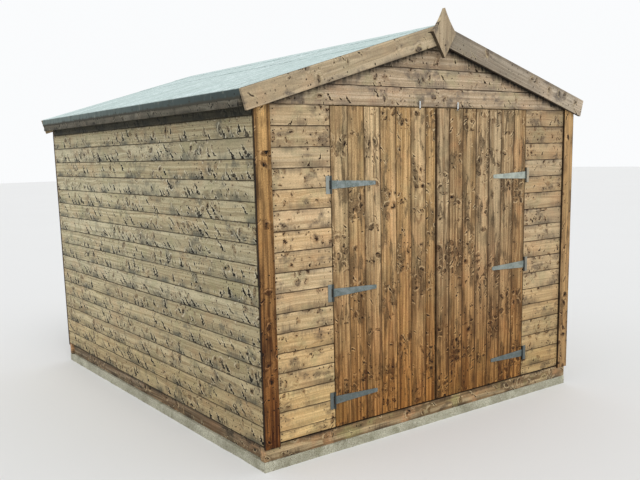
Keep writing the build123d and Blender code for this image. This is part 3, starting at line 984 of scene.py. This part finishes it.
rim_look = dict(
    patches=0.7, figure=0.9, lines=0.5, streaks=1.0, spike_height=0.03, gleam=0.7, knots=0.6,
    knot_size=(0.004, 0.016), knot_inside=0.7, spikes=0.3, pins=0.7, mildew=1.0,
    cloud_grain=(6.0, 12.0), lower_edge=0.85, upper_edge=0.85,
)
wood_rim = timber(
    "floor rims, weathered", "floor_timber", **rim_look,
    pale=(184, 160, 122), deep=(130, 106, 74), warm=(178, 132, 92), cool=(158, 148, 98),
    stain=(62, 48, 37), top_shade=0.85, speckle=0.6,
)
# A darker copy of the rims' wood: painted shade where the side rims sit back under the cladding
wood_rim_side_shaded = timber(
    "side rims, darker under the cladding", "floor_timber", **rim_look,
    pale=(146, 127, 102), deep=(104, 88, 68), warm=(134, 108, 82), cool=(114, 104, 82),
    stain=(54, 48, 40), knot=(26, 22, 17), top_shade=1.0, top_shade_from=0.62,
)
wood_frame = timber(
    "framing, sawn", "frame_timber",
    pale=(196, 168, 126), deep=(160, 128, 88), knots=0.3, knot_spacing=0.12,
    spikes=0.08, pins=0.3, mildew=0.2, lower_edge=0.1, upper_edge=0.1,
)
wood_deck = timber(
    "floor boards", "deck_timber",
    pale=(190, 162, 122), deep=(156, 126, 88), knots=0.4, spikes=0.1, mildew=0.3,
    thickness=deck_high.z - deck_low.z,
)
wood_roof = timber(
    "roof boards", "roof_timber",
    pale=(188, 160, 120), deep=(154, 124, 86), knots=0.4, spikes=0.1, mildew=0.25,
    thickness=roof_thickness,
)
wood_eaves = timber(
    "eaves boards, weathered grey", "eaves_timber",
    pale=(122, 117, 103), deep=(84, 79, 68), warm=(114, 102, 86), cool=(94, 94, 80),
    stain=(48, 46, 40), knot=(20, 19, 16), halo=(66, 60, 50), resin=(150, 142, 122),
    speckle=0.7, knots=0.5, spikes=0.6, pins=0.9, mildew=0.8, lower_edge=0.6, upper_edge=0.8,
)
felt = roofing_felt("mineral roofing felt", "roof_felt")
stone = concrete("rough concrete", "concrete")
hinge_metal = zinc("zinc-plated steel, dulled", (106, 118, 111), 0.42, rightward=0.65)
plate_metal = zinc(
    "zinc-plated steel, paler", (150, 153, 142), 0.40,
    rightward=0.8, bloom=(196, 176, 142), low_darkening=0.7,
)
button_metal = zinc("zinc-plated steel, bright", (228, 230, 228), 0.25, 0.3)
clout_metal = zinc("clout nail heads", (150, 154, 154), 0.4)
dark_nail = nail_metal("dark nail heads")


# Base and floor

DEEPEST_CHIP = 9 * MM


def outer_x(low, high, side):
    """Where a box ends on one side of the shed."""
    return high.x if side == RIGHT else low.x


def stray(dice, reach):
    """A small random shift of so many millimetres at most, either way."""
    return dice.uniform(-reach, reach) * MM


def chipped(point, out):
    """A point of the slab's true face, sunk in by the concrete's roughness."""
    rough = field.noise(point * 22) * 0.5 + field.noise(point * 75) * 0.3 + 0.45
    chip = max(0.0, field.noise(point * 7 + Vector((4, 9, 2))) - 0.25) * 2.2
    return point - out * min(DEEPEST_CHIP, max(0.0, (rough + chip) * 3.5 * MM))


def concrete_base():
    """A cast slab with a rough, chipped rim, kept inside its true faces."""
    shape = bmesh.new()
    low, high = base_low, base_high
    cell = 18 * MM
    rows = 4
    rim = 60 * MM
    turns = [low.xy, Vector((high.x, low.y)), high.xy, Vector((low.x, high.y))]
    border = []
    for start, end in zip(turns, turns[1:] + turns[:1]):
        run = end - start
        out = Vector((run.y, -run.x, 0)).normalized()
        count = round(run.length / cell)
        border += [(start + run * (i / count), out) for i in range(count)]
    rings = []
    for row in range(rows + 1):
        z = low.z + (high.z - low.z) * row / rows
        ring = []
        for place, out in border:
            point = chipped(Vector((*place, z)), out)
            if row == rows:
                point -= out * (2 + 3 * abs(field.noise(point * 40))) * MM
                point.z -= 2.5 * MM * abs(field.noise(point * 30))
            ring.append(shape.verts.new(point))
        rings.append(ring)
    inner = []
    for place, out in border:
        inward = (low.xy + high.xy) / 2 - place
        inner.append(shape.verts.new((*(place + inward.normalized() * rim), high.z)))
    rings.append(inner)
    skin(shape, rings)
    shape.faces.new(rings[0])
    shape.faces.new(inner)
    new_piece("concrete_slab", shape, stone, ["concrete_base"], smooth=60)


def floor_boards():
    """Floor boards laid from front to back across the joists."""
    dice = random.Random(11)
    shape = timber_mesh()
    width, length, thickness = deck_high - deck_low
    for first, cover, profile in matchboards(width, DECK_BOARD_PITCH, thickness):
        axes = Axes(deck_low + X_AXIS * first, Y_AXIS, X_AXIS, Z_AXIS)
        add_board(shape, axes, profile, constant(0.0), constant(length), dice, cover, 0.2 * MM)
    new_piece("floor_boards", shape, wood_deck, ["floor_deck"])


def floor_frame():
    """Rims and joists. Each side rim is two lengths butted together."""
    dice = random.Random(5)
    solid_timbers("floor_rims_front_and_back", "floor_end_rims", wood_rim, dice)
    solid_timbers("floor_joists_sawn", "floor_joists", wood_rim, dice)
    shape = timber_mesh()
    joint_share = {LEFT: 0.52, RIGHT: 0.44}
    half_gap = 1 * MM
    edge = 2 * MM
    for low, high in part_boxes("floor_side_rims"):
        side = LEFT if low.x < 0 else RIGHT
        thickness, length, height = high - low
        joint = low.y + length * joint_share[side]
        origin = (outer_x(low, high, -side), 0, low.z)
        axes = Axes(origin, Y_AXIS, Z_AXIS, X_AXIS * side)
        profile = [
            (0, 0), (0, thickness - edge), (edge, thickness),
            (height - edge, thickness), (height, thickness - edge), (height, 0),
        ]
        for first, last in ((low.y, joint - half_gap), (joint + half_gap, high.y)):
            add_board(shape, axes, profile, constant(first), constant(last), dice, height)
    new_piece("floor_rims_sides", shape, wood_rim_side_shaded, ["floor_side_rims"])


# Cladding

# Half the length of the shortest board that a gable's point may have
SHORTEST_HALF = 4 * MM

# Two nails a stud, at shares of a board's cover, and none nearer than this to a board's end
NAIL_ROWS = (0.24, 0.76)
NAIL_MARGIN = 6 * MM


def gable_reach(z):
    """Where the boards of a gable start and end at a height, under the roof's slope."""
    reach = side_high.x - (z - side_high.z) / roof_slope
    end = max(SHORTEST_HALF, min(front_high.x, reach) - SLOPE_GAP)
    return -end, end


def clad(name, node, material, nails, axes, levels, reach, dice, studs, slack=(0.0, 0.0)):
    """A piece of shiplap boards between the given levels, and their nails at every stud.

    reach gives where the wall starts and ends at a height. slack is how far each board may stop
    short of it, at the least and at the most."""
    shape = timber_mesh()
    last = len(levels) - 2
    for number, (low, high) in enumerate(zip(levels, levels[1:])):
        cover = high - low
        profile = shiplap_profile(cover, number == 0, number == last, dice.uniform(*JOINT_GAP))
        board = axes.moved(low - axes.origin.z)
        near, far = dice.uniform(*slack), dice.uniform(*slack)
        add_board(
            shape, board, profile, lambda v, w: reach(low + v)[0] + near,
            lambda v, w: reach(low + v)[1] - far, dice, cover,
        )
        for place in studs:
            for share in NAIL_ROWS:
                v = cover * share + stray(dice, 2)
                s = place + stray(dice, 4)
                start, end = reach(low + v)
                if start + NAIL_MARGIN < s < end - NAIL_MARGIN:
                    centre = board.point(s, v, board_thickness - NAIL_SINK)
                    add_nail(nails, centre, board.out, WALL_NAIL)
    new_piece(name, shape, material, [node])


def stud_places(node, axis):
    """The middles of a node's timbers along one axis."""
    return sorted((low[axis] + high[axis]) / 2 for low, high in part_boxes(node))


def side_walls():
    slack = (5 * MM, 9 * MM)
    nail_inset = 24 * MM
    for side, word in HANDS[::-1]:
        dice = random.Random(21 + side)
        nails = bmesh.new()
        node = word + "_wall_cladding"
        low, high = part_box(node)
        axes = Axes((side_low.x * side, 0, low.z), Y_AXIS, Z_AXIS, X_AXIS * side)
        levels = levels_from(low.z, high.z - EAVES_GAP)
        studs = stud_places(word + "_wall_studs", 1)
        studs[0], studs[-1] = low.y + nail_inset, high.y - nail_inset
        clad(
            word + "_wall_boards", node, wood_side, nails, axes, levels,
            lambda z: (low.y, high.y), dice, studs, slack,
        )
        new_piece(word + "_wall_nails", nails, dark_nail)


def back_wall():
    dice = random.Random(31)
    nails = bmesh.new()
    axes = Axes((0, back_low.y, back_low.z), X_AXIS, Z_AXIS, Y_AXIS)
    levels = levels_from(back_low.z, back_high.z - RIDGE_GAP)
    clad(
        "back_wall_boards", "back_wall_cladding", wood_back, nails, axes, levels,
        gable_reach, dice, stud_places("back_wall_studs", 0),
    )
    new_piece("back_wall_nails", nails, dark_nail)


def front_wall():
    """Short boards either side of the doorway, full ones in the gable over it."""
    dice = random.Random(42)
    full = int((head_level - front_low.z) / CLADDING_COVER)
    levels = [front_low.z] + [head_level - n * CLADDING_COVER for n in range(full, -1, -1)]
    nails = bmesh.new()
    trim_width = part_boxes("front_corner_trims")[0][1].x - trim_low.x
    by_trim = trim_high.x - trim_width - 19 * MM
    from_door = 17 * MM
    for side, word in HANDS:
        node = "front_" + word + "_cladding"
        low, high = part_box(node)
        axes = Axes((0, front_high.y, low.z), X_AXIS, Z_AXIS, -Y_AXIS)
        places = sorted([side * by_trim, outer_x(low, high, -side) + side * from_door])
        clad(
            "front_boards_" + word, node, wood_front, nails, axes, levels,
            lambda z: (low.x, high.x), dice, places,
        )
    axes = Axes((0, front_high.y, head_level), X_AXIS, Z_AXIS, -Y_AXIS)
    levels = levels_from(head_level, gable_high.z - RIDGE_GAP)
    posts = stud_places("front_wall_posts", 0)
    door_post = min(x for x in posts if x > 0)
    places = sorted(posts + [-door_post / 2, 0.0, door_post / 2])
    clad(
        "gable_boards", "front_gable_cladding", wood_gable, nails, axes, levels,
        gable_reach, dice, places,
    )
    new_piece("front_nails", nails, dark_nail)


def framing():
    dice = random.Random(3)
    for node in (
        "right_wall_studs", "right_wall_rails", "left_wall_studs", "left_wall_rails",
        "back_wall_studs", "back_wall_rails", "front_wall_posts", "front_wall_rails",
        "door_stops", "gable_rafters", "roof_purlins",
    ):
        solid_timbers(node + "_sawn", node, wood_frame, dice)


def corner_trims():
    dice = random.Random(9)
    nail_inset, nail_spacing = 22 * MM, 0.40
    over_foot, under_head = 60 * MM, 80 * MM
    for end, out in (("front", -Y_AXIS), ("back", Y_AXIS)):
        node = end + "_corner_trims"
        solid_timbers(end + "_trims_planed", node, wood_trim, dice, 2 * MM)
        nails = bmesh.new()
        for low, high in part_boxes(node):
            face = low.y if end == "front" else high.y
            height = low.z + over_foot
            while height < high.z - under_head:
                for x in (low.x + nail_inset, high.x - nail_inset):
                    centre = Vector((x + stray(dice, 4), face, height))
                    add_nail(nails, centre - out * TRIM_NAIL_SINK, out, TRIM_NAIL)
                height += nail_spacing + stray(dice, 20)
        new_piece(end + "_trim_nails", nails, dark_nail)


# Roof

FELT_SHEET = 1.7 * MM
FELT_PLAY = 0.2 * MM
LIP_RAGGED = 8 * MM

# Down the slope from the ridge: where the upper strip ends, how far it laps the lower one, and
# where the cap ends. Then the step between the points of a strip's slope.
LAP_PLACE = 0.50
LAP = 0.08
CAP_REACH = 0.17
SHEET_STEP = 0.07


def roof_boards():
    slant = math.tan(roof_angle)
    length = roof_high.x / math.cos(roof_angle)
    for side, word in HANDS[::-1]:
        dice = random.Random(61 + side)
        shape = timber_mesh()
        down = Vector((side * math.cos(roof_angle), 0, -math.sin(roof_angle)))
        under = Vector((-side * math.sin(roof_angle), 0, -math.cos(roof_angle)))
        top = Vector((0, roof_low.y, roof_high.z))
        run = roof_high.y - roof_low.y
        for first, cover, profile in matchboards(run, ROOF_BOARD_PITCH, roof_thickness):
            add_board(
                shape, Axes(top + Y_AXIS * first, down, Y_AXIS, under), profile,
                lambda v, w: w * slant + 0.6 * MM, lambda v, w: length + w * slant - 0.3 * MM,
                dice, cover, bow=0.0,
            )
        new_piece("roof_boards_" + word + "_laid", shape, wood_roof, ["roof_boards_" + word])


def felt_mesh():
    """An empty bmesh with the layer that the felt material reads."""
    shape = bmesh.new()
    shape.verts.layers.float_vector.new("lip")
    return shape


def add_sheet(shape, path, seed, lip_from=None, step=45 * MM):
    """A felt strip: a path of (x, z) points down the slope, run along the shed.

    Its outer face lies the sheet's thickness above the path. Points from lip_from on are the
    turned-down lip, whose last edge is ragged."""
    lip = shape.verts.layers.float_vector["lip"]
    start, end = felt_low.y, felt_high.y
    count = round((end - start) / step)
    last = len(path) - 1
    lip_from = len(path) if lip_from is None else lip_from
    normals = []
    for i, (x, z) in enumerate(path):
        (x0, z0), (x1, z1) = path[max(0, i - 1)], path[min(last, i + 1)]
        normal = Vector((z0 - z1, x1 - x0)).normalized()
        if normal.y < -0.5:
            normal = -normal
        if i >= lip_from:
            normal = Vector((math.copysign(1.0, x), 0.0))
        normals.append(normal)
    rows = []
    for j in range(count + 1):
        y = start + (end - start) * j / count
        outer, inner = [], []
        for i, ((x, z), normal) in enumerate(zip(path, normals)):
            on_lip = i >= lip_from
            share = (i - lip_from) / (last - lip_from) if on_lip else 0.0
            swell = field.noise(Vector((x * 3 + seed, y * 2.2, z * 3))) * 0.7 * MM
            swell = min(0.0, swell) if on_lip else max(0.0, swell)
            lift = 0.0
            if on_lip and i == last:
                waves = [field.noise(Vector((seed, y * rate, 0))) for rate in (5, 31)]
                lift = LIP_RAGGED * abs(sum(waves))
            for face, rise in ((outer, FELT_SHEET), (inner, 0.0)):
                offset = normal * (rise + swell)
                vertex = shape.verts.new((x + offset.x, y, z + offset.y + lift))
                vertex[lip] = (float(on_lip), share, 0.0)
                face.append(vertex)
        rows.append(outer + inner[::-1])
    skin(shape, rows)
    shape.faces.new(rows[0])
    shape.faces.new(rows[-1][::-1])


def slope_point(side, distance, rise):
    """A point of the roof's cross-section, by distance down the slope from the ridge."""
    x = distance * math.cos(roof_angle)
    z = roof_high.z - distance * math.sin(roof_angle)
    return side * x, z + rise / math.cos(roof_angle)


def roof_felt():
    """Two lapped strips a side, the lower one turned down over the eaves, and a ridge cap."""
    sheet, play = FELT_SHEET, FELT_PLAY
    eaves = roof_high.x / math.cos(roof_angle)
    for side, word in HANDS[::-1]:
        shape = felt_mesh()
        lower = [slope_point(side, LAP_PLACE - LAP + i * SHEET_STEP, play) for i in range(13)]
        lower = [p for p in lower if abs(p[0]) < roof_high.x - 0.02]
        lower += [slope_point(side, eaves - d * MM, play) for d in (14, 5, 1.5)]
        lip_from = len(lower)
        edge_x = side * (felt_high.x - sheet - 0.8 * MM)
        edge_z = lower[-1][1]
        depth = edge_z - felt_low.z
        drops = (4 * MM, depth * 0.35, depth * 0.7, depth - 1 * MM)
        lower += [(edge_x, edge_z - drop) for drop in drops]
        add_sheet(shape, lower, 3.0 + side, lip_from, 30 * MM)
        upper = [slope_point(side, 0.004 + i * SHEET_STEP, sheet + play) for i in range(7)]
        upper += [slope_point(side, LAP_PLACE, sheet + 2 * play)]
        add_sheet(shape, upper, 9.0 + side)
        new_piece("felt_" + word, shape, felt, ["roof_felt_" + word], smooth=50)
    shape = felt_mesh()
    places = (0.010, 0.05, 0.11, CAP_REACH)
    right = [slope_point(RIGHT, d, 2 * sheet + 2 * play) for d in places]
    left = [slope_point(LEFT, d, 2 * sheet + 2 * play) for d in places[::-1]]
    path = left + [(0.0, right[0][1] + 1.2 * MM)] + right
    add_sheet(shape, path, 17.0)
    new_piece("felt_ridge_cap", shape, felt, smooth=50)


def felt_nails():
    """Clouts along the edges of the upper strips and of the cap, and a few nails in the lips."""
    clout_spacing, lip_spacing = 75 * MM, 0.24
    nails, lip_nails = bmesh.new(), bmesh.new()
    dice = random.Random(71)
    for side, word in HANDS:
        normal = Vector((side * math.sin(roof_angle), 0, math.cos(roof_angle)))
        for distance, sheets in ((LAP_PLACE - 0.022, 2), (CAP_REACH - 0.02, 3)):
            y = felt_low.y + 0.03
            while y < felt_high.y - 0.02:
                x, z = slope_point(side, distance + stray(dice, 3), sheets * FELT_SHEET)
                add_nail(nails, Vector((x, y, z)), normal, CLOUT, 10)
                y += clout_spacing + stray(dice, 8)
        y = felt_low.y + 0.05
        while y < felt_high.y - 0.04:
            z = felt_low.z + 22 * MM + stray(dice, 4)
            centre = Vector((side * (felt_high.x - 1.2 * MM), y, z))
            add_nail(lip_nails, centre, X_AXIS * side, LIP_NAIL, 10)
            y += lip_spacing + stray(dice, 40)
    new_piece("felt_clout_nails", nails, clout_metal)
    new_piece("felt_lip_nails", lip_nails, dark_nail)


def roof_edges():
    dice = random.Random(81)
    solid_timbers("eaves_boards_weathered", "eaves_boards", wood_eaves, dice)
    for node in ("front_bargeboard_left", "front_bargeboard_right", "back_bargeboards"):
        wood = wood_barge_grey if node == "front_bargeboard_right" else wood_barge
        solid_timbers(node + "_planed", node, wood, dice, 2 * MM)
    solid_timbers("front_finial_shaped", "front_finial", wood_finial, dice, along=Z_AXIS)


# Doors

# Two nails to each ledge in a door board: their shares of its height, and of the board's cover
# once they are drawn in a little
LEDGE_ROWS = (0.25, 0.75)
LEDGE_SPREAD = 0.9


def door(side, word):
    """Matchboards hung on the frame, their ledges and braces behind, and nails through both."""
    body = word + "_door"
    dice = random.Random(101 + side)
    low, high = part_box(body + "_boards")
    width, thickness, height = high - low
    origin = Vector((outer_x(low, high, side), high.y, low.z))
    shape, nails = timber_mesh(), bmesh.new()
    ledges = part_boxes(body + "_ledges")
    for first, cover, profile in matchboards(width, DOOR_BOARD_PITCH, thickness):
        axes = Axes(origin, Z_AXIS, -X_AXIS * side, -Y_AXIS).moved(first)
        add_board(shape, axes, profile, constant(0.0), constant(height), dice, cover, 0.3 * MM)
        for ledge_low, ledge_high in ledges:
            for share in LEDGE_ROWS:
                level = ledge_low.z + (ledge_high.z - ledge_low.z) * share - low.z
                v = cover * (0.5 + (share - 0.5) * LEDGE_SPREAD) + stray(dice, 4)
                level += stray(dice, 6)
                centre = axes.point(level, v, thickness - NAIL_SINK)
                add_nail(nails, centre, axes.out, DOOR_NAIL)
    new_piece(body + "_boards_tongued", shape, door_woods[side], [body + "_boards"], body)
    new_piece(body + "_nails", nails, dark_nail, body=body)
    for part in ("_ledges", "_braces"):
        solid_timbers(body + part + "_sawn", body + part, wood_frame, dice, body=body)


# Metalwork

# Screws along a strap, in millimetres from its root, and up a plate, as shares of its height
STRAP_SCREWS = (48, 118, 196, 276)
PLATE_SCREWS = (0.12, 0.5, 0.88)
PLATE_SCREW_INSET = 10.7 * MM
STRAP_THICKNESS = 3 * MM
BUTTON_SCREW_LEVEL = 5 * MM


def plated(node, material, width=0.5 * MM):
    """A CAD node kept as it is, with its edges eased and a metal finish."""
    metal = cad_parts[node]
    metal.data.materials.clear()
    metal.data.materials.append(material)
    weld = metal.modifiers.new("weld", "WELD")
    weld.merge_threshold = 0.01 * MM
    ease = metal.modifiers.new("ease", "BEVEL")
    ease.width = width
    ease.segments = 2
    ease.limit_method = "ANGLE"
    ease.angle_limit = math.radians(40)


def metalwork():
    out = -Y_AXIS
    face = front_low.y - STRAP_THICKNESS + SCREW_SINK
    for side, word in HANDS:
        body = word + "_door"
        plated(word + "_hinge_straps", hinge_metal)
        plated(word + "_hinge_plates", plate_metal)
        plated(word + "_turn_button", button_metal, 0.3 * MM)
        straps, plates, buttons = bmesh.new(), bmesh.new(), bmesh.new()
        for low, high in part_boxes(word + "_hinge_straps"):
            for reach in STRAP_SCREWS:
                x = outer_x(low, high, side) - side * reach * MM
                add_screw(straps, Vector((x, face, (low.z + high.z) / 2)), out, HINGE_SCREW)
        for low, high in part_boxes(word + "_hinge_plates"):
            x = outer_x(low, high, side) - side * PLATE_SCREW_INSET
            for share in PLATE_SCREWS:
                level = low.z + (high.z - low.z) * share
                add_screw(plates, Vector((x, face, level)), out, HINGE_SCREW)
        low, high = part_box(word + "_turn_button")
        point = Vector(((low.x + high.x) / 2, low.y, low.z + BUTTON_SCREW_LEVEL))
        add_screw(buttons, point, out, BUTTON_SCREW)
        new_piece(word + "_strap_screws", straps, hinge_metal, body=body)
        new_piece(word + "_plate_screws", plates, plate_metal)
        new_piece(word + "_button_screw", buttons, dark_nail, body=body)


concrete_base()
floor_frame()
floor_boards()
framing()
side_walls()
back_wall()
front_wall()
corner_trims()
roof_boards()
roof_felt()
felt_nails()
roof_edges()
for hand in HANDS:
    door(*hand)
metalwork()


# Stage, light and camera

def in_scene(name, data):
    """A new object in the scene."""
    holder = bpy.data.objects.new(name, data)
    bpy.context.scene.collection.objects.link(holder)
    return holder


def studio_floor():
    """A wide pale floor that keeps the shed's shadow."""
    reach = 60.0
    mesh = bpy.data.meshes.new("studio_floor")
    sheet = [(-reach, -reach, 0), (reach, -reach, 0), (reach, reach, 0), (-reach, reach, 0)]
    mesh.from_pydata(sheet, [], [(0, 1, 2, 3)])
    m = Shader("pale floor")
    colour = m.blend(m.noise(m.point, 0.4), (0.78, 0.78, 0.77, 1), (0.80, 0.80, 0.79, 1))
    mesh.materials.append(m.finish(colour, 0.9))
    in_scene("studio_floor", mesh)


def studio_light():
    """An even pale sky, and a broad soft lamp high on the left of the front."""
    scene = bpy.context.scene
    world = bpy.data.worlds.new("studio")
    scene.world = world
    world.use_nodes = True
    nodes, links = world.node_tree.nodes, world.node_tree.links
    sky = nodes["Background"]
    sky.inputs["Color"].default_value = (0.95, 0.97, 1.0, 1)
    sky.inputs["Strength"].default_value = 0.80
    white = nodes.new("ShaderNodeBackground")
    white.inputs["Color"].default_value = (0.96, 0.97, 0.98, 1)
    white.inputs["Strength"].default_value = 1.0
    path = nodes.new("ShaderNodeLightPath")
    shown = path.outputs["Is Camera Ray"]
    for kind in ("Is Glossy Ray", "Is Transmission Ray"):
        either = nodes.new("ShaderNodeMath")
        either.operation = "MAXIMUM"
        links.new(shown, either.inputs[0])
        links.new(path.outputs[kind], either.inputs[1])
        shown = either.outputs[0]
    mix = nodes.new("ShaderNodeMixShader")
    links.new(shown, mix.inputs[0])
    links.new(sky.outputs[0], mix.inputs[1])
    links.new(white.outputs[0], mix.inputs[2])
    links.new(mix.outputs[0], nodes["World Output"].inputs["Surface"])
    lamp = bpy.data.lights.new("soft_lamp", "SUN")
    lamp.energy = 1.1
    lamp.angle = math.radians(38)
    lamp.color = (1.0, 0.98, 0.95)
    turn = Euler((math.radians(38), 0, math.radians(-22)), "XYZ")
    in_scene("soft_lamp", lamp).rotation_euler = turn
    scene.view_settings.view_transform = "Standard"


def camera():
    """The photograph's view. Its frame sits a little above the lens axis."""
    place = (-3.1727, -4.6677, 1.5919)
    yaw, pitch, roll = math.radians(-36.07), math.radians(-9.49), math.radians(-1.33)
    data = bpy.data.cameras.new("camera")
    data.sensor_width = 36.0
    data.lens = 43.46
    data.shift_y = 0.07
    turn = Matrix.Rotation(yaw, 4, "Z") @ Matrix.Rotation(math.radians(90) + pitch, 4, "X")
    turn = turn @ Matrix.Rotation(roll, 4, "Z")
    holder = in_scene("camera", data)
    holder.matrix_world = Matrix.Translation(place) @ turn
    bpy.context.scene.camera = holder


studio_floor()
studio_light()
camera()
